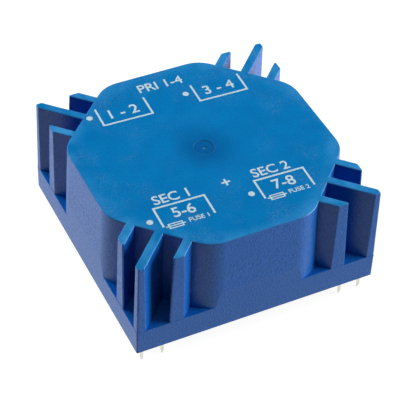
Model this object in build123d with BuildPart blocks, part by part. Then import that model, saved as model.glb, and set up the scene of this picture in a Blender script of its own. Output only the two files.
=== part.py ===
# Encapsulated toroidal transformer for printed circuit boards.
# Millimetres, +Z up. The origin is the centre of the seating face, with the pins below it.
import os
from dataclasses import dataclass
from math import cos, hypot, radians, sin, tan

from build123d import *

# Housing, outside
base_side = 60.0
rim_height = 6.5
box_height = 26.0
top_inset = 0.6
corner_flat_outset = 0.2
corner_radius = 8.0
body_draft = 2.3
top_edge_radius = 0.3
upright_edge_radius = 0.35

# Fins at the corners
fin_thickness = 2.1
fin_pitch = 6.6
fin_draft = 1.15
fin_end_draft = 0.9
fin_root_depth = 1.2
fin_setback = 0.05

# Gate mark in the middle of the top
gate_diameter = 5.0
gate_depth = 0.15
gate_dimple_diameter = 1.0
gate_dimple_depth = 0.12

# Housing, inside
body_wall = 1.6
rim_wall = 1.0
ceiling = 1.8
ledge_thickness = 1.8
pin_rail_margin = 1.5
pin_rail_recess = 2.0

# Solder pins: a thin tail below the seating face and a thicker shank above it
pin_diameter = 0.8
pin_shank_diameter = 1.2
pin_edge_distance = 2.06
pin_pitch = 5.08
pin_reach = 5.0
pin_seat_depth = 3.0
pin_tip_diameter = 0.35
pin_tip_length = 1.0

# Coil, built up on a ring core: thickness of each layer on the faces and in the bore
resin_gap = 0.8
lead_space = 3.2
core_build = 11.0
tape_build = 0.4
secondary_build = 0.8
secondary_bore_build = 1.25
insulation_build = 0.4
primary_build = 0.6
primary_bore_build = 1.0
core_corner_radius = 0.5

# Lead-outs, wound round the pins, and the sleeves on the primary leads
lead_diameter = 0.35
lead_level = 1.3
lead_bend_radius = 1.0
lead_turns = 2
lead_exit_spread = 5.5
lead_clearance = 0.05
sleeve_wall = 0.25
sleeve_stop = 2.0

# Potting compound
potting_recess = 0.5

corner_count = 4
corner_angle = 45
half_side = base_side / 2
half_diagonal = hypot(half_side, half_side)
top_half = half_side - top_inset
corner_flat_distance = top_half + corner_flat_outset
body_height = box_height - rim_height
ceiling_level = box_height - ceiling

os.makedirs("parts", exist_ok=True)


def save(part, name):
    """Labels a finished piece and writes it to its own file."""
    part.label = name
    export_step(part, f"parts/{name}.step")


def draw_base_square():
    """Draws the square of the rim, with its corners just rounded."""
    RectangleRounded(base_side, base_side, upright_edge_radius)


def draw_body_outline(sketch, half_flat, flat_distance, radius):
    """Draws a square whose corners are cut off at 45 degrees and rounded."""
    Rectangle(2 * half_flat, 2 * half_flat)
    Rectangle(2 * flat_distance, 2 * flat_distance, rotation=corner_angle, mode=Mode.INTERSECT)
    fillet(sketch.vertices(), radius)


# Terminals: two pins at each corner, in rows along the front and back edges

@dataclass(frozen=True)
class Terminal:
    """A pin and the place under the coil where its lead comes out."""

    pin: str
    x: float
    y: float
    exit_x: float
    exit_y: float

    def toward_exit(self, distance):
        """Gives the point of the lead's level run that lies this far from the pin."""
        run = hypot(self.exit_x - self.x, self.exit_y - self.y)
        share = distance / run
        return (self.x + share * (self.exit_x - self.x), self.y + share * (self.exit_y - self.y), lead_level)


winding_corners = {
    "primary_winding_1": (-1, 1),
    "primary_winding_2": (1, 1),
    "secondary_winding_1": (-1, -1),
    "secondary_winding_2": (1, -1),
}

# Coil sections, from the tape on the outside to the core

@dataclass(frozen=True)
class RingSection:
    """Rounded rectangular section of a ring around the Z axis."""

    inner: float
    outer: float
    low: float
    high: float
    corner: float

    def inside(self, build, bore_build):
        """Gives the section that is left inside a layer of these thicknesses."""
        return RingSection(
            inner=self.inner + bore_build,
            outer=self.outer - build,
            low=self.low + build,
            high=self.high - build,
            corner=self.corner - build,
        )

    def draw(self, mode=Mode.ADD):
        """Draws the section in a sketch on the XZ plane."""
        with Locations(((self.inner + self.outer) / 2, (self.low + self.high) / 2)):
            RectangleRounded(self.outer - self.inner, self.high - self.low, self.corner, mode=mode)


coil_layers = [
    ("outer_tape_wrap", tape_build, tape_build),
    ("secondary_winding_2", secondary_build, secondary_bore_build),
    ("secondary_winding_1", secondary_build, secondary_bore_build),
    ("interwinding_insulation", insulation_build, insulation_build),
    ("primary_winding_2", primary_build, primary_bore_build),
    ("primary_winding_1", primary_build, primary_bore_build),
    ("core_insulation", insulation_build, insulation_build),
]
draft_at_ceiling = ceiling * tan(radians(body_draft))
cavity_half = top_half + draft_at_ceiling - body_wall
cavity_corner = corner_flat_distance + draft_at_ceiling - body_wall
coil_outer = min(cavity_half, cavity_corner) - resin_gap
wall_build = core_build + sum(build + bore_build for _, build, bore_build in coil_layers)
coil_section = RingSection(
    inner=coil_outer - wall_build,
    outer=coil_outer,
    low=lead_space,
    high=ceiling_level,
    corner=core_corner_radius + sum(build for _, build, _ in coil_layers),
)
sections = [coil_section]
for _, build, bore_build in coil_layers:
    sections.append(sections[-1].inside(build, bore_build))
core_section = sections[-1]

exit_distance = (core_section.inner + core_section.outer) / 2
exit_half_spread = lead_exit_spread / 2
exit_middle = (exit_distance**2 - exit_half_spread**2) ** 0.5
exit_far = (exit_middle + exit_half_spread) * cos(radians(corner_angle))
exit_near = (exit_middle - exit_half_spread) * sin(radians(corner_angle))
pin_row = half_side - pin_edge_distance
terminals = {}
pin_totals = {"primary": 0, "secondary": 0}
for winding, (side, row) in winding_corners.items():
    kind = winding.split("_")[0]
    ends = [(pin_row, exit_far, exit_near), (pin_row - pin_pitch, exit_near, exit_far)]
    terminals[winding] = []
    for pin_x, exit_x, exit_y in ends:
        pin_totals[kind] += 1
        name = f"{kind}_pin_{pin_totals[kind]}"
        terminals[winding].append(Terminal(name, side * pin_x, row * pin_row, side * exit_x, row * exit_y))
all_terminals = [terminal for pair in terminals.values() for terminal in pair]
pin_places = [(terminal.x, terminal.y) for terminal in all_terminals]

# Limits of the fins: a square just inside the rim's edge, carried up with the draft of the fins' ends
fin_square = base_side - 2 * fin_setback
with BuildPart() as fin_limits:
    with BuildSketch(Plane.XY.offset(rim_height)):
        Rectangle(fin_square, fin_square)
    extrude(amount=body_height, taper=fin_end_draft)

# Fins: three at each corner, parallel to the corner's diagonal and thicker towards the rim, with their
# top edges and the upright edges of their ends rounded. The ends are the faces that look along X or Y.
fin_start = corner_flat_distance - fin_root_depth
with BuildPart() as fins:
    with BuildSketch(Plane.XY.offset(box_height)):
        with PolarLocations(0, corner_count, start_angle=corner_angle):
            with Locations([((fin_start + half_diagonal) / 2, step * fin_pitch) for step in (-1, 0, 1)]):
                Rectangle(half_diagonal - fin_start, fin_thickness)
    extrude(amount=-body_height, taper=-fin_draft)
    add(fin_limits.part, mode=Mode.INTERSECT)
    fin_ends = ShapeList()
    for axis in (Axis.X, Axis.Y):
        fin_ends += fins.faces().filter_by(axis, tolerance=corner_angle / 2)
    fillet(fin_ends.edges().filter_by(lambda edge: edge.length > body_height / 2), upright_edge_radius)
    fillet(fins.faces().filter_by(Axis.Z).group_by(Axis.Z)[-1].edges(), top_edge_radius)

# Hollow of the housing: the drafted well for the coil and the shallow pocket in the rim,
# with a rail left standing in each corner to hold two pins
pocket_half = half_side - rim_wall
pocket_depth = rim_height - ledge_thickness
rail_inner_x = pin_row - pin_pitch - pin_rail_margin
rail_inner_y = pin_row - pin_rail_margin
with BuildPart() as hollow:
    with BuildSketch(Plane.XY.offset(ceiling_level)) as well_outline:
        draw_body_outline(well_outline, cavity_half, cavity_corner, corner_radius - body_wall)
    extrude(amount=-ceiling_level, taper=-body_draft)
    with BuildSketch():
        Rectangle(2 * pocket_half, 2 * pocket_half)
    extrude(amount=ceiling_level, mode=Mode.INTERSECT)
    with BuildSketch():
        Rectangle(2 * pocket_half, 2 * pocket_half)
    extrude(amount=pin_rail_recess)
    with BuildSketch(Plane.XY.offset(pin_rail_recess)):
        Rectangle(2 * pocket_half, 2 * pocket_half)
        with GridLocations(pocket_half + rail_inner_x, pocket_half + rail_inner_y, 2, 2):
            Rectangle(pocket_half - rail_inner_x, pocket_half - rail_inner_y, mode=Mode.SUBTRACT)
    extrude(amount=pocket_depth - pin_rail_recess)

# Housing: one moulding of rim, drafted body and fins
with BuildPart() as housing:
    with BuildSketch(Plane.XY.offset(box_height)) as top_outline:
        draw_body_outline(top_outline, top_half, corner_flat_distance, corner_radius)
    extrude(amount=-body_height, taper=-body_draft)
    fillet(housing.faces().sort_by(Axis.Z)[-1].edges(), top_edge_radius)
    with BuildSketch():
        draw_base_square()
    extrude(amount=box_height, mode=Mode.INTERSECT)
    with BuildSketch():
        draw_base_square()
    extrude(amount=rim_height)
    add(fins.part)
    add(hollow.part, mode=Mode.SUBTRACT)
    with BuildSketch(Plane.XY.offset(pin_rail_recess)):
        with Locations(pin_places):
            Circle(pin_shank_diameter / 2)
    extrude(amount=pin_seat_depth, mode=Mode.SUBTRACT)
    with BuildSketch(Plane.XY.offset(box_height)):
        Circle(gate_diameter / 2)
    extrude(amount=-gate_depth, mode=Mode.SUBTRACT)
    with BuildSketch(Plane.XY.offset(box_height - gate_depth)):
        Circle(gate_dimple_diameter / 2)
    extrude(amount=-gate_dimple_depth, mode=Mode.SUBTRACT)
save(housing.part, "housing")

# Pins: round, tapered to a blunt tip, with a shoulder level with the seating face
# and a shank pressed into a rail
pin_parts = []
for terminal in all_terminals:
    with BuildPart() as pin:
        with BuildSketch():
            with Locations((terminal.x, terminal.y)):
                Circle(pin_diameter / 2)
        extrude(amount=-pin_reach)
        tip = pin.faces().sort_by(Axis.Z)[0]
        chamfer(tip.edges(), (pin_diameter - pin_tip_diameter) / 2, pin_tip_length, reference=tip)
        with BuildSketch():
            with Locations((terminal.x, terminal.y)):
                Circle(pin_shank_diameter / 2)
        extrude(amount=pin_rail_recess + pin_seat_depth)
    save(pin.part, terminal.pin)
    pin_parts.append(pin.part)

# Lead-outs: each winding's wire comes down out of the coil, turns level and is wound round its pin
collar_inner = pin_shank_diameter / 2 + lead_clearance
collar_height = lead_turns * lead_diameter


def make_lead(terminal, start_level):
    """Builds a lead that starts at this height inside its winding and ends in turns round the pin."""
    with BuildPart() as lead:
        with BuildLine() as route:
            FilletPolyline(
                (terminal.exit_x, terminal.exit_y, start_level),
                (terminal.exit_x, terminal.exit_y, lead_level),
                terminal.toward_exit(collar_inner + lead_diameter / 2),
                radius=lead_bend_radius,
            )
        with BuildSketch(Plane(route.line @ 0, z_dir=route.line % 0)):
            Circle(lead_diameter / 2)
        sweep(path=route.line)
        with BuildSketch(Plane.XY.offset(lead_level - collar_height / 2)):
            with Locations((terminal.x, terminal.y)):
                Circle(collar_inner + lead_diameter)
                Circle(collar_inner, mode=Mode.SUBTRACT)
        extrude(amount=collar_height)
    return lead.part


sleeve_inner = lead_diameter / 2 + lead_clearance
sleeve_outer = sleeve_inner + sleeve_wall


def make_sleeve(terminal, start_level):
    """Builds the tube over a lead, from its winding to just short of the pin."""
    with BuildPart() as sleeve:
        with BuildLine() as route:
            FilletPolyline(
                (terminal.exit_x, terminal.exit_y, start_level),
                (terminal.exit_x, terminal.exit_y, lead_level),
                terminal.toward_exit(sleeve_stop),
                radius=lead_bend_radius,
            )
        with BuildSketch(Plane(route.line @ 0, z_dir=route.line % 0)):
            Circle(sleeve_outer)
            Circle(sleeve_inner, mode=Mode.SUBTRACT)
        sweep(path=route.line)
    return sleeve.part


# Coil layers: shells of revolution, with a hole for every lead that comes out from deeper in
lead_parts = []
sleeve_parts = []
for index, (name, build, _) in enumerate(coil_layers):
    shell_outside = sections[index]
    shell_inside = sections[index + 1]
    own_leads = [make_lead(end, shell_outside.low + build / 2) for end in terminals.get(name, [])]
    lead_parts += own_leads
    if name.startswith("primary"):
        sleeve_parts += [make_sleeve(end, shell_outside.low) for end in terminals[name]]
    deeper = [layer for layer, _, _ in coil_layers[index + 1 :] if layer in terminals]
    with BuildPart() as layer_part:
        with BuildSketch(Plane.XZ):
            shell_outside.draw()
            shell_inside.draw(mode=Mode.SUBTRACT)
        revolve(axis=Axis.Z)
        for winding in deeper:
            reach = sleeve_outer if winding.startswith("primary") else lead_diameter / 2
            with BuildSketch(Plane.XY.offset(shell_outside.low)):
                with Locations([(end.exit_x, end.exit_y) for end in terminals[winding]]):
                    Circle(reach + lead_clearance)
            extrude(amount=build, mode=Mode.SUBTRACT)
        for lead in own_leads:
            add(lead)
    save(layer_part.part, name)
for number, sleeve in enumerate(sorted(sleeve_parts, key=lambda part: part.center().X), start=1):
    save(sleeve, f"primary_lead_sleeve_{number}")

# Core: a ring wound from thin steel strip
with BuildPart() as core:
    with BuildSketch(Plane.XZ):
        core_section.draw()
    revolve(axis=Axis.Z)
save(core.part, "toroidal_core")

# Potting compound: cast into the hollow around the coil, the leads and the pins
with BuildPart() as potting:
    add(hollow.part)
    with BuildSketch():
        Rectangle(base_side, base_side)
    extrude(amount=potting_recess, mode=Mode.SUBTRACT)
    with BuildSketch(Plane.XZ):
        coil_section.draw()
    revolve(axis=Axis.Z, mode=Mode.SUBTRACT)
    for cast_in in pin_parts + lead_parts + sleeve_parts:
        add(cast_in, mode=Mode.SUBTRACT)
save(potting.part, "potting_compound")
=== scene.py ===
"""Potted toroidal transformer for circuit boards: finishes, print, cast resin face, light and camera.

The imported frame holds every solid. This script gives each of them a finish and adds the ink of the legend on
the top and the cast face of the resin underneath. Lengths are millimetres unless a name says otherwise, and
the scene itself is in metres.
"""

import logging
import math
from dataclasses import dataclass, field
from enum import Enum
from typing import Any

import bpy
import numpy as np
from mathutils import Matrix, Vector


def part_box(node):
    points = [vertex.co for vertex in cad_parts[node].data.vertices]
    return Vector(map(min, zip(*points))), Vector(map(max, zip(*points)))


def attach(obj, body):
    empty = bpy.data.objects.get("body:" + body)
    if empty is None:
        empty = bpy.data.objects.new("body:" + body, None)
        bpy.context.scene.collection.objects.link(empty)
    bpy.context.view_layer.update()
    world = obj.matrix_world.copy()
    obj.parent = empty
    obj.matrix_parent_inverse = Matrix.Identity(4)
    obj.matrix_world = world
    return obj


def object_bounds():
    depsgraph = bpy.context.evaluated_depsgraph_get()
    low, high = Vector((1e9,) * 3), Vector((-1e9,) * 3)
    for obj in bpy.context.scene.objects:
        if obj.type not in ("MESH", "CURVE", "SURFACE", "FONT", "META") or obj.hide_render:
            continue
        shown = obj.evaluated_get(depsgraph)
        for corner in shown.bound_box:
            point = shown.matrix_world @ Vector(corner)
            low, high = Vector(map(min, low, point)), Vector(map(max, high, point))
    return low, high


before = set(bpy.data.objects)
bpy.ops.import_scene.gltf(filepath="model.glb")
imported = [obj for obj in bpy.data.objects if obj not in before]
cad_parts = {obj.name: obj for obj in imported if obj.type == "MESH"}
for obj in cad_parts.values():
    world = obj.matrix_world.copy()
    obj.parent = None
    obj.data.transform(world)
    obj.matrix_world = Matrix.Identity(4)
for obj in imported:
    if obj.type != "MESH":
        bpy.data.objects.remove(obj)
CAD_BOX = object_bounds()

MM = 0.001
BODY = "root"
LOG = logging.getLogger("pcb_transformer")
WHITE = (1.0, 1.0, 1.0, 1.0)

# Socket numbers of the Mix node when it mixes colours
MIX_FACTOR, MIX_A, MIX_B, MIX_RESULT = 0, 6, 7, 2
# Factors that keep X and Y of a place and drop its height
FLATTEN = (1.0, 1.0, 0.0)
# Octaves of a plain noise
NOISE_DETAIL = 2.0

Tree = bpy.types.NodeTree
Socket = bpy.types.NodeSocket
# Points as an (n, 3) array, and the corner numbers of each face
Shape = tuple[np.ndarray, list[list[int]]]


class Slot(Enum):
    """Material slots of the record."""

    HOUSING = "housing_plastic"
    RESIN = "potting_resin"
    CORE = "core_steel"
    TAPE = "insulating_tape"
    COPPER = "enamelled_copper"
    PIN = "tinned_pin"
    SLEEVE = "lead_sleeve"


class Row(Enum):
    """Rows of the legend, with the way that each row's brackets open along Y."""

    BACK = 1
    FRONT = -1


class WindPattern(Enum):
    """Ways in which something is wound on the ring."""

    STRIP = "concentric turns of strip, counted along the radius"
    TURNS = "turns through the bore, counted around the axis"


def linear(hex_colour: str) -> tuple[float, float, float, float]:
    """Turns an sRGB hex colour into linear light.

    Args:
        hex_colour: colour written as "#RRGGBB".

    Returns:
        Red, green, blue and an alpha of 1.
    """
    coded = np.array([int(hex_colour[i : i + 2], 16) for i in (1, 3, 5)]) / 255
    light = np.where(coded <= 0.04045, coded / 12.92, ((coded + 0.055) / 1.055) ** 2.4)
    return (*light.tolist(), 1.0)


def add_node(tree: Tree, kind: str, inputs: dict | None = None, **settings: Any) -> bpy.types.Node:
    """Adds a node, sets its properties and fills or links its inputs.

    Args:
        tree: node tree of a material or of the world.
        kind: type of the node, without the leading "ShaderNode".
        inputs: for each input, by name or number, a plain value or the output socket to link from.
        settings: properties of the node itself.

    Returns:
        The new node.
    """
    node = tree.nodes.new("ShaderNode" + kind)
    for name, value in settings.items():
        setattr(node, name, value)
    for key, value in (inputs or {}).items():
        if isinstance(value, Socket):
            tree.links.new(value, node.inputs[key])
        else:
            node.inputs[key].default_value = value
    return node


def start_material(name: str) -> tuple[bpy.types.Material, Tree, Socket]:
    """Starts an empty node material.

    Args:
        name: name of the material.

    Returns:
        The material, its node tree, and a socket with the object's own coordinates in millimetres.
    """
    material = bpy.data.materials.new(name)
    material.use_nodes = True
    tree = material.node_tree
    tree.nodes.clear()
    place = add_node(tree, "TexCoord").outputs["Object"]
    scaled = add_node(tree, "VectorMath", {0: place, "Scale": 1 / MM}, operation="SCALE")
    return material, tree, scaled.outputs["Vector"]


def end_material(tree: Tree, shader: bpy.types.Node) -> None:
    """Links the finished shader to the material's output."""
    add_node(tree, "OutputMaterial", {"Surface": shader.outputs[0]})


def grid_faces(rows: int, columns: int, wrap_columns: bool = False, wrap_rows: bool = False) -> np.ndarray:
    """Numbers the corners of the quads of a grid of points that is stored row by row.

    Args:
        rows: points along the first parameter.
        columns: points along the second parameter.
        wrap_columns: joins the last column to the first.
        wrap_rows: joins the last row to the first.

    Returns:
        An (n, 4) array of point numbers.
    """
    index = np.arange(rows * columns).reshape(rows, columns)
    if wrap_columns:
        index = np.hstack([index, index[:, :1]])
    if wrap_rows:
        index = np.vstack([index, index[:1]])
    corners = [index[:-1, :-1], index[:-1, 1:], index[1:, 1:], index[1:, :-1]]
    return np.stack(corners, axis=-1).reshape(-1, 4)


def make_object(name: str, points: np.ndarray, faces: list, smooth: bool = False) -> bpy.types.Object:
    """Makes a mesh object at the origin, with its place in its mesh.

    Args:
        name: name of the object and its mesh.
        points: an (n, 3) array in millimetres.
        faces: corner numbers of each face.
        smooth: shades the faces smooth.

    Returns:
        The object, linked to the scene.
    """
    mesh = bpy.data.meshes.new(name)
    mesh.from_pydata((points * MM).tolist(), [], faces)
    mesh.polygons.foreach_set("use_smooth", np.full(len(mesh.polygons), smooth))
    mesh.update()
    piece = bpy.data.objects.new(name, mesh)
    bpy.context.scene.collection.objects.link(piece)
    return piece


def dress_nodes(slot: Slot, material: bpy.types.Material) -> list[bpy.types.Object]:
    """Gives a finish to every node of the frame whose slot it is.

    Args:
        slot: the record's slot.
        material: finish for that slot.

    Returns:
        The nodes that were dressed.
    """
    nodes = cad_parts.values()
    dressed = [node for node in nodes if node.material_slots[0].name.split(".")[0] == slot.value]
    for node in dressed:
        node.material_slots[0].material = material
    return dressed


def settle(piece: bpy.types.Object, material: bpy.types.Material) -> bpy.types.Object:
    """Dresses a new piece and lets it ride on the part.

    Args:
        piece: the new piece.
        material: its finish.

    Returns:
        The same piece.
    """
    piece.data.materials.append(material)
    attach(piece, BODY)
    return piece


def direction(azimuth_deg: float, elevation_deg: float) -> Vector:
    """Gives the unit vector from the object towards something that stands around it.

    Args:
        azimuth_deg: turn about Z, from the front at -Y towards the right at +X.
        elevation_deg: angle over the horizon.

    Returns:
        The direction.
    """
    azimuth, elevation = math.radians(azimuth_deg), math.radians(elevation_deg)
    flat = math.cos(elevation)
    return Vector((math.sin(azimuth) * flat, -math.cos(azimuth) * flat, math.sin(elevation)))


def axis_distance(tree: Tree, place: Socket) -> Socket:
    """Finds the distance from the part's axis: the length of a place without its height.

    Args:
        tree: node tree of the material.
        place: socket with the coordinates in millimetres.

    Returns:
        The distance in millimetres.
    """
    flat = add_node(tree, "VectorMath", {0: place, 1: FLATTEN}, operation="MULTIPLY").outputs["Vector"]
    return add_node(tree, "VectorMath", {0: flat}, operation="LENGTH").outputs["Value"]


def ring_distance(tree: Tree, distance: Socket, radius: float) -> Socket:
    """Finds the distance from a ring about the part's axis.

    Args:
        tree: node tree of the material.
        distance: socket with the distance from the axis in millimetres.
        radius: radius of the ring.

    Returns:
        The distance in millimetres.
    """
    offset = add_node(tree, "Math", {0: distance, 1: radius}, operation="SUBTRACT").outputs["Value"]
    return add_node(tree, "Math", {0: offset}, operation="ABSOLUTE").outputs["Value"]


def patterned_shader(
    tree: Tree,
    pattern: Socket,
    colours: tuple[str, str],
    roughness: tuple[float, float],
    relief: float,
    metallic: float = 0.0,
) -> bpy.types.Node:
    """Adds a shader whose colour, roughness and relief follow one pattern.

    Args:
        tree: node tree of the material.
        pattern: socket with the pattern, from 0 to 1.
        colours: sRGB hex colours where the pattern is 0 and where it is 1.
        roughness: roughness at the same two ends.
        relief: height of the pattern in millimetres.
        metallic: 1 on a bare metal.

    Returns:
        The shader.
    """
    low, high = (linear(colour) for colour in colours)
    colour = add_node(tree, "Mix", {MIX_FACTOR: pattern, MIX_A: low, MIX_B: high}, data_type="RGBA")
    rough = add_node(tree, "MapRange", {"Value": pattern, "To Min": roughness[0], "To Max": roughness[1]})
    bump = add_node(tree, "Bump", {"Height": pattern, "Distance": relief * MM})
    return add_node(
        tree,
        "BsdfPrincipled",
        {
            "Base Color": colour.outputs[MIX_RESULT],
            "Metallic": metallic,
            "Roughness": rough.outputs["Result"],
            "Normal": bump.outputs["Normal"],
        },
    )


@dataclass(frozen=True)
class MouldedPolyester:
    """Blue PBT polyester, moulded against a spark-eroded tool.

    The eroded tool leaves an even, very fine grain, so the plastic looks matt face on and hazy at a low
    angle. Handling has worn its grain and left patches of fine pale scuffs. The top is painted lighter and
    more cyan than the sides, as painted light. A painted highlight runs along its rounded edges, and the fins
    are paler near a ring about the axis. Around the gate the top is darker, partly as painted shade of a
    shallow dish, and painted highlights lighten the ring of the gate's well and the dimple in its middle.

    A band holds the two levels of a noise, or of the upward share of the normal, between which a mark comes
    in. A share says how far a mark's colour covers the one below.
    """

    # Lighter, more cyan copy of the side colour on the top: painted light where the lamps fall
    lit_top_colour: str = "#0083C9"
    side_colour: str = "#0465C3"
    # Colour of the mottle, and of the painted shade around the gate
    mottle_and_shade_colour: str = "#0060A4"
    scuff_colour: str = "#7A96C6"
    # Painted highlight on the gate's ring and on the dimple in its middle
    gate_highlight_colour: str = "#3C93CB"
    grain_colour: str = "#003468"
    # Painted highlight along the rounded top edges, and the paler colour of the fins
    pale_highlight_colour: str = "#46A2E2"
    pit_roughness: float = 0.44
    peak_roughness: float = 0.28
    ior: float = 1.43
    # The real grit is near 0.1 mm, and it is drawn four times as coarse so that it shows
    grain_size: float = 0.4
    grain_band: tuple[float, float] = (0.35, 0.65)
    grain_depth: float = 0.02
    side_grain_depth: float = 0.1
    grain_shade: float = 0.2
    side_grain_shade: float = 0.36
    mottle_size: float = 5.0
    mottle_band: tuple[float, float] = (0.3, 0.7)
    mottle_share: float = 0.25
    # Bands of the upward normal and of the height where the top's painted light comes in
    upward_band: tuple[float, float] = (0.3, 0.8)
    lit_top_heights: tuple[float, float] = (9.0, 16.0)
    # Upward share of the normal on the slope of a rounded edge where the painted highlight is strongest
    edge_highlight_slope: float = 0.5
    edge_highlight_band: tuple[float, float] = (0.1, 0.4)
    edge_highlight_share: float = 0.5
    # The fins' tops are paler near this ring about the axis
    fin_pale_radius: float = 33.5
    fin_pale_reach: tuple[float, float] = (2.0, 6.5)
    fin_pale_share: float = 0.85
    scuff_size: float = 0.45
    scuff_band: tuple[float, float] = (0.5, 0.7)
    scuff_share: float = 0.36
    patch_size: float = 6.0
    patch_band: tuple[float, float] = (0.45, 0.65)
    scuff_radii: tuple[float, float] = (8.0, 28.0)
    side_scuffs: float = 0.15
    gate_radius: float = 2.45
    # Painted highlight on a ring at the rim of the gate's well, and on the shadowed dimple in its middle
    ring_highlight_width: float = 0.22
    ring_highlight_share: float = 0.5
    dimple_highlight_reach: float = 0.5
    # Painted shade around the gate, partly for a shallow dish that the shape doesn't have
    painted_gate_shade: float = 0.85
    painted_gate_shade_reach: float = 10.0

    def lit_top_and_highlights(
        self, tree: Tree, place: Socket, distance: Socket, mottle: Socket
    ) -> tuple[Socket, Socket]:
        """Finds the top that is painted lighter, and the painted highlight on its edges and the paler fins.

        The top's painted light comes in with the height, on faces that look up. The painted highlight of an
        edge is found by folding the upward share of the normal back at a middle slope, which gives 0 on level
        and on upright faces and most in between. The fins are paler near a ring about the axis, unevenly.

        Args:
            tree: node tree of the material.
            place: socket with the coordinates in millimetres.
            distance: socket with the distance from the part's axis in millimetres.
            mottle: socket with the noise that makes the paler fins uneven.

        Returns:
            The share of the top's painted light, and the share of the painted edge highlight and the paler
            fins.
        """
        height = add_node(tree, "SeparateXYZ", {0: place}).outputs["Z"]
        normal = add_node(tree, "NewGeometry").outputs["Normal"]
        facing = add_node(tree, "SeparateXYZ", {0: normal}).outputs["Z"]
        low, high = self.upward_band
        upward = add_node(tree, "MapRange", {"Value": facing, "From Min": low, "From Max": high})
        low, high = self.lit_top_heights
        # Painted light: the top and the fin tops take a lighter colour than the sides
        lit_top_share = add_node(
            tree,
            "MapRange",
            {"Value": height, "From Min": low, "From Max": high, "To Max": upward.outputs["Result"]},
        ).outputs["Result"]
        # Painted highlight on the rounded edges between the top and the sides
        folded = add_node(tree, "Math", {0: facing, 1: self.edge_highlight_slope}, operation="PINGPONG")
        low, high = self.edge_highlight_band
        edges = add_node(
            tree,
            "MapRange",
            {"Value": folded.outputs["Value"], "From Min": low, "From Max": high, "To Max": self.edge_highlight_share},
        )
        low, high = self.fin_pale_reach
        near_ring = add_node(
            tree,
            "MapRange",
            {
                "Value": ring_distance(tree, distance, self.fin_pale_radius),
                "From Min": low,
                "From Max": high,
                "To Min": self.fin_pale_share,
                "To Max": 0.0,
            },
        )
        low, high = self.mottle_band
        fins = add_node(
            tree,
            "MapRange",
            {
                "Value": mottle,
                "From Min": low,
                "From Max": high,
                "To Min": near_ring.outputs["Result"],
                "To Max": 0.0,
            },
        )
        both = add_node(
            tree, "Math", {0: edges.outputs["Result"], 1: fins.outputs["Result"]}, operation="MAXIMUM"
        )
        highlight_and_pale_fins = add_node(tree, "Math", {0: both.outputs["Value"], 1: lit_top_share}, operation="MULTIPLY")
        return lit_top_share, highlight_and_pale_fins.outputs["Value"]

    def gate_shade_and_highlights(self, tree: Tree, distance: Socket) -> tuple[Socket, Socket]:
        """Finds the darker zone around the gate, partly painted shade of a shallow dish, and the painted
        highlights on the gate's ring and on the dimple in its middle.

        Args:
            tree: node tree of the material.
            distance: socket with the distance from the part's axis in millimetres.

        Returns:
            The share of the darker zone, which is partly painted shade, and the share of the painted
            highlights.
        """
        # Painted shade, darkest at the gate
        shade = add_node(
            tree,
            "MapRange",
            {"Value": distance, "From Max": self.painted_gate_shade_reach, "To Min": self.painted_gate_shade, "To Max": 0.0},
            interpolation_type="SMOOTHSTEP",
        )
        # Painted highlight on a ring at the rim of the gate's well
        ring = add_node(
            tree,
            "MapRange",
            {
                "Value": ring_distance(tree, distance, self.gate_radius),
                "From Max": self.ring_highlight_width,
                "To Min": self.ring_highlight_share,
                "To Max": 0.0,
            },
        )
        # Painted highlight that lightens the shadowed dimple in the gate's middle
        dimple_highlight = add_node(
            tree,
            "MapRange",
            {
                "Value": distance,
                "From Min": self.dimple_highlight_reach / 2,
                "From Max": self.dimple_highlight_reach,
                "To Min": 1.0,
                "To Max": 0.0,
            },
        )
        marks = add_node(
            tree, "Math", {0: ring.outputs["Result"], 1: dimple_highlight.outputs["Result"]}, operation="MAXIMUM"
        )
        return shade.outputs["Result"], marks.outputs["Value"]

    def scuffed(
        self, tree: Tree, noises: tuple[Socket, Socket], lit_top_share: Socket, distance: Socket
    ) -> Socket:
        """Finds the scuffs: fine spots within patches, which grow towards the rim of the top.

        Args:
            tree: node tree of the material.
            noises: sockets with the noise of the spots and the noise of the patches.
            lit_top_share: socket with the share of the top's painted light, which is 1 on the top.
            distance: socket with the distance from the part's axis in millimetres.

        Returns:
            The share of the scuffs.
        """
        level = add_node(tree, "MapRange", {"Value": lit_top_share, "To Min": self.side_scuffs, "To Max": 1.0})
        low, high = self.scuff_radii
        reach = add_node(
            tree,
            "MapRange",
            {
                "Value": distance,
                "From Min": low,
                "From Max": high,
                "To Min": self.side_scuffs,
                "To Max": level.outputs["Result"],
            },
        )
        bands = (self.scuff_band, self.patch_band)
        shares = (self.scuff_share, reach.outputs["Result"])
        spots, patches = (
            add_node(tree, "MapRange", {"Value": noise, "From Min": low, "From Max": high, "To Max": share})
            for noise, (low, high), share in zip(noises, bands, shares)
        )
        both = {0: spots.outputs["Result"], 1: patches.outputs["Result"]}
        return add_node(tree, "Math", both, operation="MULTIPLY").outputs["Value"]

    def material(self) -> bpy.types.Material:
        """Makes the material.

        Returns:
            A material with grain, mottled colour, patches of scuffs, paler fins, a top painted lighter as
            painted light, painted highlights on the edges and at the gate, and painted shade around the gate.
        """
        material, tree, place = start_material("moulded_pbt_polyester")
        sizes = (self.grain_size, self.mottle_size, self.scuff_size, self.patch_size)
        noises = (
            add_node(tree, "TexNoise", {"Vector": place, "Scale": 1 / size, "Detail": NOISE_DETAIL})
            for size in sizes
        )
        grain, mottle, spots, patches = (noise.outputs["Fac"] for noise in noises)
        distance = axis_distance(tree, place)
        lit_top_share, highlight_and_pale_fins = self.lit_top_and_highlights(tree, place, distance, mottle)
        shade, marks = self.gate_shade_and_highlights(tree, distance)
        scuffs = self.scuffed(tree, (spots, patches), lit_top_share, distance)
        low, high = self.mottle_band
        mottled = add_node(
            tree,
            "MapRange",
            {"Value": mottle, "From Min": low, "From Max": high, "To Max": self.mottle_share},
        )
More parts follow.
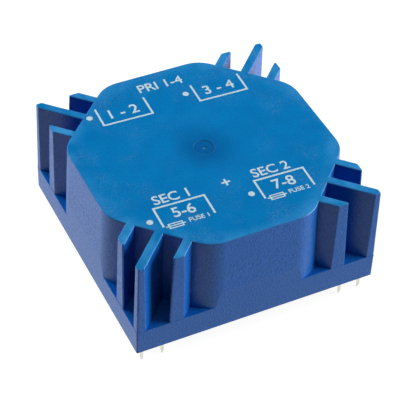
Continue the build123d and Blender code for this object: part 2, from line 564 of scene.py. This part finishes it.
        # Painted shade around the gate, added to the plastic's own mottle
        mottle_and_shade = add_node(
            tree, "Math", {0: shade, 1: mottled.outputs["Result"]}, operation="ADD", use_clamp=True
        )
        # The grain is darker and deeper on the sides, where it isn't worn
        grain_shade, grain_depth = (
            add_node(tree, "MapRange", {"Value": lit_top_share, "To Min": side, "To Max": top}).outputs["Result"]
            for side, top in (
                (self.side_grain_shade, self.grain_shade),
                (self.side_grain_depth * MM, self.grain_depth * MM),
            )
        )
        low, high = self.grain_band
        pits = add_node(
            tree, "MapRange", {"Value": grain, "From Min": low, "From Max": high, "To Max": grain_shade}
        )
        rough = add_node(
            tree,
            "MapRange",
            {
                "Value": grain,
                "From Min": low,
                "From Max": high,
                "To Min": self.peak_roughness,
                "To Max": self.pit_roughness,
            },
        )
        colour = linear(self.side_colour)
        # The top colour, the shade around the gate and the highlights on the edges and the gate are painted
        # light; mottle, scuffs and grain are the plastic's own
        for share, tint in (
            (lit_top_share, self.lit_top_colour),
            (mottle_and_shade.outputs["Value"], self.mottle_and_shade_colour),
            (scuffs, self.scuff_colour),
            (highlight_and_pale_fins, self.pale_highlight_colour),
            (marks, self.gate_highlight_colour),
            (pits.outputs["Result"], self.grain_colour),
        ):
            mixed = add_node(
                tree, "Mix", {MIX_FACTOR: share, MIX_A: colour, MIX_B: linear(tint)}, data_type="RGBA"
            )
            colour = mixed.outputs[MIX_RESULT]
        bump = add_node(tree, "Bump", {"Height": grain, "Distance": grain_depth}, invert=True)
        shader = add_node(
            tree,
            "BsdfPrincipled",
            {
                "Base Color": colour,
                "Roughness": rough.outputs["Result"],
                "IOR": self.ior,
                "Normal": bump.outputs["Normal"],
            },
        )
        end_material(tree, shader)
        return material


@dataclass(frozen=True)
class PadPrintInk:
    """White two-part ink, laid on by a soft pad: a thin matt film that lets a little of the blue through."""

    colour: str = "#C8DFE8"
    thin_colour: str = "#9CC6DC"
    roughness: tuple[float, float] = (0.5, 0.65)
    relief: float = 0.004
    patch_size: float = 0.5
    patch_band: tuple[float, float] = (0.5, 0.75)
    thinnest: float = 0.4

    def material(self) -> bpy.types.Material:
        """Makes the material.

        Returns:
            A material with slightly uneven coverage.
        """
        material, tree, place = start_material("pad_print_ink")
        patches = add_node(
            tree, "TexNoise", {"Vector": place, "Scale": 1 / self.patch_size, "Detail": NOISE_DETAIL}
        )
        low, high = self.patch_band
        cover = add_node(
            tree,
            "MapRange",
            {
                "Value": patches.outputs["Fac"],
                "From Min": low,
                "From Max": high,
                "To Min": 1.0,
                "To Max": self.thinnest,
            },
        )
        colours = (self.thin_colour, self.colour)
        end_material(
            tree, patterned_shader(tree, cover.outputs["Result"], colours, self.roughness, self.relief)
        )
        return material


@dataclass(frozen=True)
class TinnedWire:
    """Copper-alloy wire dipped in tin: a bright white metal, smeared along the pin where the tin ran off."""

    colour: str = "#E8E8DE"
    dull_colour: str = "#C6C6BA"
    roughness: tuple[float, float] = (0.26, 0.38)
    relief: float = 0.01
    smear_width: float = 0.25
    smear_length: float = 2.5

    def material(self) -> bpy.types.Material:
        """Makes the material.

        Returns:
            A metal with smears that run along Z.
        """
        material, tree, place = start_material("tinned_copper_wire")
        stretch = (1 / self.smear_width, 1 / self.smear_width, 1 / self.smear_length)
        along = add_node(tree, "VectorMath", {0: place, 1: stretch}, operation="MULTIPLY").outputs["Vector"]
        smears = add_node(tree, "TexNoise", {"Vector": along, "Scale": 1.0, "Detail": NOISE_DETAIL})
        colours = (self.colour, self.dull_colour)
        end_material(
            tree,
            patterned_shader(tree, smears.outputs["Fac"], colours, self.roughness, self.relief, metallic=1.0),
        )
        return material


@dataclass(frozen=True)
class CastPolyurethane:
    """Black polyurethane resin, poured and left to level: a smooth glossy skin with shallow flow marks."""

    colour: str = "#1C1D20"
    pale_colour: str = "#2E3034"
    roughness: tuple[float, float] = (0.18, 0.28)
    relief: float = 0.02
    flow_size: float = 8.0
    flow_detail: float = 4.0
    flow_swirl: float = 1.5

    def material(self) -> bpy.types.Material:
        """Makes the material.

        Returns:
            A dark glossy material with cloudy flow marks.
        """
        material, tree, place = start_material("cast_polyurethane_resin")
        flow = add_node(
            tree,
            "TexNoise",
            {
                "Vector": place,
                "Scale": 1 / self.flow_size,
                "Detail": self.flow_detail,
                "Distortion": self.flow_swirl,
            },
        )
        colours = (self.colour, self.pale_colour)
        end_material(tree, patterned_shader(tree, flow.outputs["Fac"], colours, self.roughness, self.relief))
        return material


@dataclass(frozen=True)
class WoundLayer:
    """Something wound on the ring core: steel strip, enamelled wire or overlapping tape.

    The edges of the turns give fine lines, across the radius on strip and along it on wire and tape.
    """

    name: str
    pattern: WindPattern
    spacing: float
    colour: str
    line_colour: str
    roughness: tuple[float, float]
    metallic: float = 0.0
    line_depth: float = 0.05
    # Levels of the sine of a turn between which its line gives way to its crown
    line_band: tuple[float, float] = (-1.0, 0.2)
    pattern_radius: float = 18.0

    def material(self) -> bpy.types.Material:
        """Makes the material.

        Returns:
            A material with a line for each turn.
        """
        material, tree, place = start_material(self.name)
        if self.pattern is WindPattern.STRIP:
            along = axis_distance(tree, place)
            turns_per_unit = 1 / self.spacing
        else:
            parts = add_node(tree, "SeparateXYZ", {0: place}).outputs
            angle = add_node(tree, "Math", {0: parts["Y"], 1: parts["X"]}, operation="ARCTAN2")
            along = angle.outputs["Value"]
            # A whole number of turns goes round the ring, so that the pattern closes
            turns_per_unit = round(2 * math.pi * self.pattern_radius / self.spacing) / (2 * math.pi)
        per_turn = 2 * math.pi * turns_per_unit
        phase = add_node(tree, "Math", {0: along, 1: per_turn}, operation="MULTIPLY").outputs["Value"]
        wave = add_node(tree, "Math", {0: phase}, operation="SINE").outputs["Value"]
        low, high = self.line_band
        crown = add_node(tree, "MapRange", {"Value": wave, "From Min": low, "From Max": high})
        colours = (self.line_colour, self.colour)
        end_material(
            tree,
            patterned_shader(
                tree, crown.outputs["Result"], colours, self.roughness, self.line_depth, self.metallic
            ),
        )
        return material


@dataclass(frozen=True)
class VarnishedSleeving:
    """Varnished glass-fibre sleeving: a pale tube with the ribs of its braid just showing."""

    colour: str = "#E6DFC8"
    rib_colour: str = "#CFC5A6"
    roughness: tuple[float, float] = (0.35, 0.5)
    relief: float = 0.02
    rib_size: float = 0.25

    def material(self) -> bpy.types.Material:
        """Makes the material.

        Returns:
            A pale material with fine ribs.
        """
        material, tree, place = start_material("varnished_glass_sleeving")
        ribs = add_node(tree, "TexVoronoi", {"Vector": place, "Scale": 1 / self.rib_size})
        colours = (self.colour, self.rib_colour)
        end_material(
            tree, patterned_shader(tree, ribs.outputs["Distance"], colours, self.roughness, self.relief)
        )
        return material


@dataclass(frozen=True)
class MattPaper:
    """Matt white background paper: even and without gloss, so that only the object's soft shadow shows."""

    colour: str = "#8C8C8C"
    # Plain white that is added to the paper's own lit tone where it is seen
    lift: float = 0.88

    def material(self) -> bpy.types.Material:
        """Makes the material.

        Returns:
            White paper that lights the object as paper does, and is lifted to white where it is seen.
        """
        material, tree, _ = start_material("matt_white_paper")
        paper = add_node(
            tree,
            "BsdfPrincipled",
            {"Base Color": linear(self.colour), "Roughness": 1.0, "Specular IOR Level": 0.0},
        )
        rays = add_node(tree, "LightPath").outputs
        seen = rays["Is Camera Ray"]
        for ray in ("Is Glossy Ray", "Is Transmission Ray"):
            seen = add_node(tree, "Math", {0: seen, 1: rays[ray]}, operation="MAXIMUM").outputs["Value"]
        strength = add_node(tree, "Math", {0: seen, 1: self.lift}, operation="MULTIPLY").outputs["Value"]
        white = add_node(tree, "Emission", {"Color": WHITE, "Strength": strength})
        shader = add_node(tree, "AddShader", {0: paper.outputs[0], 1: white.outputs[0]})
        end_material(tree, shader)
        return material


@dataclass
class Housing:
    """The blue moulding: rim, drafted body and corner fins, all from the frame."""

    finish: MouldedPolyester = MouldedPolyester()

    def dress(self) -> list[bpy.types.Object]:
        """Gives the moulding its finish, and returns its node."""
        return dress_nodes(Slot.HOUSING, self.finish.material())

    def top_level(self) -> float:
        """Gives the height of the flat top in millimetres."""
        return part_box("housing")[1].z / MM


@dataclass
class Terminals:
    """The eight solder pins."""

    finish: TinnedWire = TinnedWire()

    def dress(self) -> list[bpy.types.Object]:
        """Gives the pins their finish, and returns their nodes."""
        return dress_nodes(Slot.PIN, self.finish.material())

    def places(self) -> np.ndarray:
        """Gives the pins' axes as an (n, 2) array in millimetres."""
        corners = [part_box(name) for name in sorted(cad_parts) if "_pin_" in name]
        return np.array([((low + high) / 2)[:2] for low, high in corners]) / MM


@dataclass
class Coil:
    """The wound ring inside the resin: core, windings, tape and the sleeves on the leads."""

    core: WoundLayer = WoundLayer(
        "wound_electrical_steel", WindPattern.STRIP, 0.6, "#8E9196", "#4A4C50", (0.6, 0.45), metallic=1.0
    )
    windings: WoundLayer = WoundLayer(
        "enamelled_copper_wire", WindPattern.TURNS, 0.4, "#B5652F", "#6E3415", (0.45, 0.3), metallic=0.8
    )
    tape: WoundLayer = WoundLayer(
        "polyester_film_tape", WindPattern.TURNS, 6.0, "#E2C25A", "#B3903A", (0.5, 0.35)
    )
    sleeves: VarnishedSleeving = VarnishedSleeving()

    def dress(self) -> list[bpy.types.Object]:
        """Gives the core, the windings, the tape and the sleeves their finishes.

        Returns:
            The nodes that were dressed.
        """
        finishes = {
            Slot.CORE: self.core,
            Slot.COPPER: self.windings,
            Slot.TAPE: self.tape,
            Slot.SLEEVE: self.sleeves,
        }
        return [node for slot, finish in finishes.items() for node in dress_nodes(slot, finish.material())]


@dataclass
class PottingBlock:
    """The cast resin and the face that it leaves underneath, which creeps up the walls and the pins."""

    finish: CastPolyurethane = CastPolyurethane()
    points_per_side: int = 180
    wall_climb: float = 0.3
    wall_reach: float = 0.7
    pin_climb: float = 0.25
    pin_reach: float = 0.5
    shank_radius: float = 0.6
    ripple_height: float = 0.03
    ripple_length: float = 11.0
    skin_depth: float = 0.04

    def cast_face(self, pins: np.ndarray) -> bpy.types.Object:
        """Works out the face of the resin as a height over a square grid.

        The face is level, less the greater of two climbs, which die away exponentially with the distance from
        the nearest wall and from the nearest pin, and less two crossed sine ripples. It looks towards -Z.

        Args:
            pins: the pins' axes as an (n, 2) array.

        Returns:
            The face as a thin closed skin on the resin.
        """
        low, high = (np.array(corner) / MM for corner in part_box("potting_compound"))
        x, y = np.meshgrid(
            np.linspace(low[0], high[0], self.points_per_side),
            np.linspace(low[1], high[1], self.points_per_side),
        )
        to_wall = np.minimum.reduce([x - low[0], high[0] - x, y - low[1], high[1] - y])
        to_pin = np.hypot(x[..., None] - pins[:, 0], y[..., None] - pins[:, 1]).min(axis=-1)
        pin_gap = np.maximum(to_pin - self.shank_radius, 0)
        wave = 2 * np.pi / self.ripple_length
        at_wall = self.wall_climb * np.exp(-to_wall / self.wall_reach)
        at_pin = self.pin_climb * np.exp(-pin_gap / self.pin_reach)
        ripple = self.ripple_height * (1 + np.sin(wave * x + np.sin(wave * y / 2)) * np.sin(wave * y)) / 2
        z = low[2] - self.skin_depth - ripple - np.maximum(at_wall, at_pin)
        face = np.stack([x, y, z], axis=-1).reshape(-1, 3)
        piece = make_object(
            "resin_cast_face",
            face,
            grid_faces(self.points_per_side, self.points_per_side)[:, ::-1].tolist(),
            smooth=True,
        )
        skin = piece.modifiers.new("skin", "SOLIDIFY")
        skin.thickness = self.skin_depth * MM
        skin.offset = -1
        return piece

    def build(self, pins: np.ndarray) -> list[bpy.types.Object]:
        """Dresses the resin and adds its cast face.

        Args:
            pins: the pins' axes as an (n, 2) array.

        Returns:
            The resin's node and its cast face.
        """
        material = self.finish.material()
        face = settle(self.cast_face(pins), material)
        return [*dress_nodes(Slot.RESIN, material), face]


@dataclass(frozen=True)
class TerminalMark:
    """One winding's mark on the top: a bracket with numbers, and at the front a caption and a fuse sign.

    The nudge is how far the stamp of this mark was off its place.
    """

    column: int
    row: Row
    numbers: str
    caption: str = ""
    fuse: str = ""
    nudge: float = 0.0


@dataclass
class PrintedLegend:
    """The white print on the top, laid a little askew: a bracket with a start dot for each winding.

    Places inside a mark are counted from the middle of its bracket's bar, and outwards is towards the
    bracket's open side.
    """

    finish: PadPrintInk = PadPrintInk()
    film: float = 0.03
    turn_deg: float = -1.8
    shift: tuple[float, float] = (-0.25, 0.5)
    line_width: float = 0.48
    bracket_width: float = 12.2
    bracket_leg: float = 6.1
    bracket_x: float = 12.1
    bracket_y: float = 15.0
    dot_diameter: float = 1.5
    dot_gap: float = 2.25
    dot_out: float = 3.6
    dot_sides: int = 28
    plus_arms: int = 4
    plus_size: float = 2.1
    plus_y: float = -13.0
    # Share of the letters' size by which their outline is set out, for a bold print
    boldness: float = 0.014
    # Depth of the letters before they are made as thin as the film
    letter_depth: float = 0.5
    number_height: float = 3.1
    number_out: dict[Row, float] = field(default_factory=lambda: {Row.BACK: 3.2, Row.FRONT: 2.7})
    caption_height: float = 2.8
    caption_place: tuple[float, float] = (-1.0, 2.3)
    heading: str = "PRI 1-4"
    heading_place: tuple[float, float] = (-0.4, 24.2)
    fuse_height: float = 1.3
    fuse_length: float = 3.2
    fuse_lead: float = 0.7
    fuse_line: float = 0.3
    fuse_place: tuple[float, float] = (-3.3, -6.35)
    fuse_label_height: float = 1.3
    fuse_label_place: tuple[float, float] = (2.3, -6.0)
    marks: tuple[TerminalMark, ...] = (
        TerminalMark(-1, Row.BACK, "1 - 2"),
        TerminalMark(1, Row.BACK, "3 - 4", nudge=0.15),
        TerminalMark(-1, Row.FRONT, "5-6", "SEC 1", "FUSE 1", nudge=-0.2),
        TerminalMark(1, Row.FRONT, "7-8", "SEC 2", "FUSE 2"),
    )

    def on_top(self, points: np.ndarray, level: float) -> np.ndarray:
        """Lays points of the legend's own plane on the top of the housing.

        Args:
            points: an (n, 3) array whose third column is the height over the top.
            level: height of the top.

        Returns:
            The points, turned and shifted as the print is.
        """
        turn = np.array(Matrix.Rotation(math.radians(self.turn_deg), 3, "Z"))
        return points @ turn.T + np.array([*self.shift, level])

    def stroke(self, path: np.ndarray, width: float, closed: bool = False) -> Shape:
        """Carries a flat rectangular profile along a path in the plane.

        At each point the profile lies along the mitre of the two runs that meet there, which is the sum of
        their normals divided by one plus the cosine of the turn.

        Args:
            path: an (n, 2) array.
            width: width of the line.
            closed: joins the last point to the first.

        Returns:
            Points as an (n, 3) array, and faces.
        """
        ends = np.vstack([path, path[:1]]) if closed else path
        runs = np.diff(ends, axis=0)
        runs = runs / np.linalg.norm(runs, axis=1, keepdims=True)
        normals = np.stack([-runs[:, 1], runs[:, 0]], axis=1)
        if closed:
            before, after = np.roll(normals, 1, axis=0), normals
        else:
            before, after = np.vstack([normals[:1], normals]), np.vstack([normals, normals[-1:]])
        mitre = (before + after) / (1 + np.sum(before * after, axis=1, keepdims=True))
        across = np.array([1, -1, -1, 1]) * width / 2
        up = np.array([0, 0, 1, 1]) * self.film
        flat = path[:, None, :] + mitre[:, None, :] * across[None, :, None]
        height = np.broadcast_to(up[None, :, None], (len(path), len(up), 1))
        points = np.concatenate([flat, height], axis=2).reshape(-1, 3)
        faces = grid_faces(len(path), len(up), wrap_columns=True, wrap_rows=closed)[:, ::-1].tolist()
        if not closed:
            first = np.arange(len(up))
            faces += [first.tolist(), (len(points) - 1 - first).tolist()]
        return points, faces

    def block(self, outline: np.ndarray) -> Shape:
        """Raises an outline to a closed block: the outline at the top's level and again at the film's.

        Args:
            outline: an (n, 2) array that runs against the clock.

        Returns:
            Points as an (n, 3) array, and faces.
        """
        corners = len(outline)
        rings = [np.column_stack([outline, np.full(corners, level)]) for level in (0, self.film)]
        index = np.arange(corners)
        faces = grid_faces(len(rings), corners, wrap_columns=True).tolist()
        faces += [index[::-1].tolist(), (index + corners).tolist()]
        return np.vstack(rings), faces

    def text(self, words: str, height: float, centre: tuple[float, float]) -> Shape:
        """Sets words in the plain built-in sans face.

        Args:
            words: what is printed.
            height: height of the capitals.
            centre: middle of the words.

        Returns:
            Points as an (n, 3) array, and faces.
        """
        curve = bpy.data.curves.new("print_words", "FONT")
        curve.body = words
        curve.extrude = self.letter_depth
        curve.offset = self.boldness
        setter = bpy.data.objects.new("print_words", curve)
        bpy.context.scene.collection.objects.link(setter)
        shape = bpy.data.meshes.new_from_object(setter.evaluated_get(bpy.context.evaluated_depsgraph_get()))
        flat = np.empty(3 * len(shape.vertices))
        shape.vertices.foreach_get("co", flat)
        points = flat.reshape(-1, 3)
        faces = [list(face.vertices) for face in shape.polygons]
        bpy.data.objects.remove(setter)
        bpy.data.curves.remove(curve)
        bpy.data.meshes.remove(shape)
        low, high = points.min(axis=0), points.max(axis=0)
        scale = height / (high[1] - low[1])
        middle = np.array([(low[0] + high[0]) / 2, (low[1] + high[1]) / 2, low[2]])
        placed = (points - middle) * np.array([scale, scale, self.film / (high[2] - low[2])])
        return placed + np.array([*centre, 0.0]), faces

    def join(self, name: str, shapes: list[Shape], level: float) -> bpy.types.Object:
        """Joins printed shapes to one piece on the top.

        Args:
            name: name of the piece.
            shapes: points and faces of each shape.
            level: height of the top.

        Returns:
            The piece.
        """
        starts = np.cumsum([0] + [len(points) for points, _ in shapes]).tolist()
        faces = [[start + i for i in face] for start, (_, part) in zip(starts, shapes) for face in part]
        points = np.vstack([points for points, _ in shapes])
        return make_object(name, self.on_top(points, level), faces)

    def bar_middle(self, mark: TerminalMark) -> tuple[float, float]:
        """Gives the middle of the bar of a winding's bracket."""
        return mark.column * self.bracket_x + mark.nudge, mark.row.value * self.bracket_y

    def bracket(self, mark: TerminalMark) -> Shape:
        """Draws a winding's bracket, open towards its own edge of the housing.

        Args:
            mark: the winding's mark.

        Returns:
            Points as an (n, 3) array, and faces.
        """
        x, y = self.bar_middle(mark)
        left, right = x - self.bracket_width / 2, x + self.bracket_width / 2
        leg_end = y + mark.row.value * self.bracket_leg
        corners = [(left, leg_end), (left, y), (right, y), (right, leg_end)]
        return self.stroke(np.array(corners), self.line_width)

    def start_dot(self, mark: TerminalMark) -> Shape:
        """Draws the dot that marks the start of a winding, left of its bracket: a circle of even steps.

        Args:
            mark: the winding's mark.

        Returns:
            Points as an (n, 3) array, and faces.
        """
        x, y = self.bar_middle(mark)
        centre = np.array([x - self.bracket_width / 2 - self.dot_gap, y + mark.row.value * self.dot_out])
        angle = np.linspace(0, 2 * np.pi, self.dot_sides, endpoint=False)
        return self.block(centre + self.dot_diameter / 2 * np.stack([np.cos(angle), np.sin(angle)], axis=1))

    def plus_sign(self) -> Shape:
        """Draws the plus between the secondaries: three corners of a cross, turned by each quarter turn.

        Returns:
            Points as an (n, 3) array, and faces.
        """
        long, short = self.plus_size / 2, self.line_width / 2
        corners = np.array([(long, short), (short, short), (short, long)])
        quarter = np.array([(0, -1), (1, 0)])
        turns = [np.linalg.matrix_power(quarter, count) for count in range(self.plus_arms)]
        outline = np.vstack([corners @ turn.T for turn in turns])
        return self.block(outline + np.array([0, self.plus_y]))

    def fuse_sign(self, centre: tuple[float, float]) -> list[Shape]:
        """Draws a fuse as circuit plans do: a box with a wire through it, in strokes that only meet.

        Args:
            centre: middle of the box.

        Returns:
            The shapes of the sign.
        """
        x, y = centre
        half, rise, edge = self.fuse_length / 2, self.fuse_height / 2, self.fuse_line / 2
        box = np.array([(-half, -rise), (half, -rise), (half, rise), (-half, rise)]) + np.array(centre)
        wires = [
            (x - half - self.fuse_lead, x - half - edge),
            (x - half + edge, x + half - edge),
            (x + half + edge, x + half + self.fuse_lead),
        ]
        sign = [self.stroke(box, self.fuse_line, closed=True)]
        return sign + [self.stroke(np.array([(start, y), (end, y)]), self.fuse_line) for start, end in wires]

    def build(self, level: float) -> list[bpy.types.Object]:
        """Prints the legend.

        Args:
            level: height of the top.

        Returns:
            The printed pieces.
        """
        ink = self.finish.material()
        signs = [self.plus_sign()]
        words = [self.text(self.heading, self.caption_height, self.heading_place)]
        for mark in self.marks:
            x, y = self.bar_middle(mark)
            number_y = y + mark.row.value * self.number_out[mark.row]
            words.append(self.text(mark.numbers, self.number_height, (x, number_y)))
            if mark.row is Row.FRONT:
                places = (self.caption_place, self.fuse_label_place, self.fuse_place)
                caption, label, fuse = ((x + right, y + up) for right, up in places)
                words.append(self.text(mark.caption, self.caption_height, caption))
                words.append(self.text(mark.fuse, self.fuse_label_height, label))
                signs += self.fuse_sign(fuse)
        pieces = [
            self.join("print_brackets", [self.bracket(mark) for mark in self.marks], level),
            self.join("print_start_dots", [self.start_dot(mark) for mark in self.marks], level),
            self.join("print_signs", signs, level),
            self.join("print_numbers", words, level),
        ]
        return [settle(piece, ink) for piece in pieces]


@dataclass(frozen=True)
class Softbox:
    """A square diffused lamp that looks at the object. One that is not mirrored leaves no highlight."""

    name: str
    azimuth_deg: float
    elevation_deg: float
    distance: float
    side: float
    watts: float
    colour: str = "#FFFFFF"
    mirrored: bool = True

    def build(self, target: Vector) -> None:
        """Hangs the lamp.

        Args:
            target: point that it faces, in metres.
        """
        lamp = bpy.data.lights.new(self.name, "AREA")
        lamp.size = self.side * MM
        lamp.energy = self.watts
        lamp.color = linear(self.colour)[:3]
        towards = direction(self.azimuth_deg, self.elevation_deg)
        holder = bpy.data.objects.new(self.name, lamp)
        holder.visible_glossy = self.mirrored
        holder.location = target + towards * self.distance * MM
        holder.rotation_euler = towards.to_track_quat("Z", "Y").to_euler()
        bpy.context.scene.collection.objects.link(holder)


@dataclass(frozen=True)
class ProductCamera:
    """A long-lens camera above the front left corner."""

    aim: tuple[float, float, float] = (2.97, 3.83, 4.91)
    azimuth_deg: float = -27.546
    elevation_deg: float = 43.479
    roll_deg: float = 2.674
    distance: float = 372.35
    lens: float = 135.69
    sensor_width: float = 36.0

    def build(self) -> None:
        """Sets up the camera."""
        back = direction(self.azimuth_deg, self.elevation_deg)
        data = bpy.data.cameras.new("product_camera")
        data.lens = self.lens
        data.sensor_width = self.sensor_width
        camera = bpy.data.objects.new("product_camera", data)
        level = back.to_track_quat("Z", "Y").to_matrix()
        turned = level @ Matrix.Rotation(math.radians(self.roll_deg), 3, "Z")
        place = (Vector(self.aim) + back * self.distance) * MM
        camera.matrix_world = Matrix.Translation(place) @ turned.to_4x4()
        bpy.context.scene.collection.objects.link(camera)
        bpy.context.scene.camera = camera


@dataclass
class Studio:
    """White paper that sweeps up all round, soft lamps and the camera."""

    paper: MattPaper = MattPaper()
    floor_radius: float = 900.0
    bend_radius: float = 500.0
    bend_steps: int = 12
    sides: int = 96
    ambient: float = 0.01
    camera: ProductCamera = ProductCamera()
    lamps: tuple[Softbox, ...] = (
        Softbox("right_softbox", 68.0, 18.0, 700.0, 420.0, 6.6),
        Softbox("back_softbox", 209.0, 21.0, 700.0, 420.0, 6.6, mirrored=False),
        Softbox("overhead_softbox", 0.0, 88.0, 700.0, 420.0, 0.6),
    )

    def sweep(self) -> bpy.types.Object:
        """Turns a quarter circle round the Z axis, as the bend of the paper, and closes it with a flat floor.

        Returns:
            The paper, with the floor at the level of the pins' tips.
        """
        level = CAD_BOX[0].z / MM
        bend = np.linspace(0, np.pi / 2, self.bend_steps)[:, None]
        angle = np.linspace(0, 2 * np.pi, self.sides, endpoint=False)
        radius = self.floor_radius + self.bend_radius * np.sin(bend)
        height = level + self.bend_radius * (1 - np.cos(bend))
        place = np.broadcast_arrays(radius * np.cos(angle), radius * np.sin(angle), height)
        rings = np.stack(place, axis=-1).reshape(-1, 3)
        faces = grid_faces(self.bend_steps, self.sides, wrap_columns=True)[:, ::-1].tolist()
        faces.append(np.arange(self.sides).tolist())
        return make_object("paper_sweep", rings, faces, smooth=True)

    def build(self) -> None:
        """Sets up the paper, the ambient light, the lamps and the camera."""
        scene = bpy.context.scene
        scene.view_settings.view_transform = "Standard"
        paper = self.sweep()
        paper.data.materials.append(self.paper.material())
        world = bpy.data.worlds.new("studio_ambient")
        world.use_nodes = True
        world.node_tree.nodes.clear()
        ambient = add_node(world.node_tree, "Background", {"Color": WHITE, "Strength": self.ambient})
        add_node(world.node_tree, "OutputWorld", {"Surface": ambient.outputs[0]})
        scene.world = world
        middle = (CAD_BOX[0] + CAD_BOX[1]) / 2
        for lamp in self.lamps:
            lamp.build(middle)
        self.camera.build()


def main() -> None:
    """Builds and dresses the transformer, reports each piece and sets up the studio around it."""
    logging.basicConfig(level=logging.INFO, format="%(name)s: %(message)s")
    housing, terminals = Housing(), Terminals()
    pieces = [
        *housing.dress(),
        *terminals.dress(),
        *Coil().dress(),
        *PottingBlock().build(terminals.places()),
        *PrintedLegend().build(housing.top_level()),
    ]
    for piece in pieces:
        finish = piece.material_slots[0].material
        LOG.info("%s: %d faces, %s", piece.name, len(piece.data.polygons), finish.name)
    Studio().build()


if __name__ == "__main__":
    main()
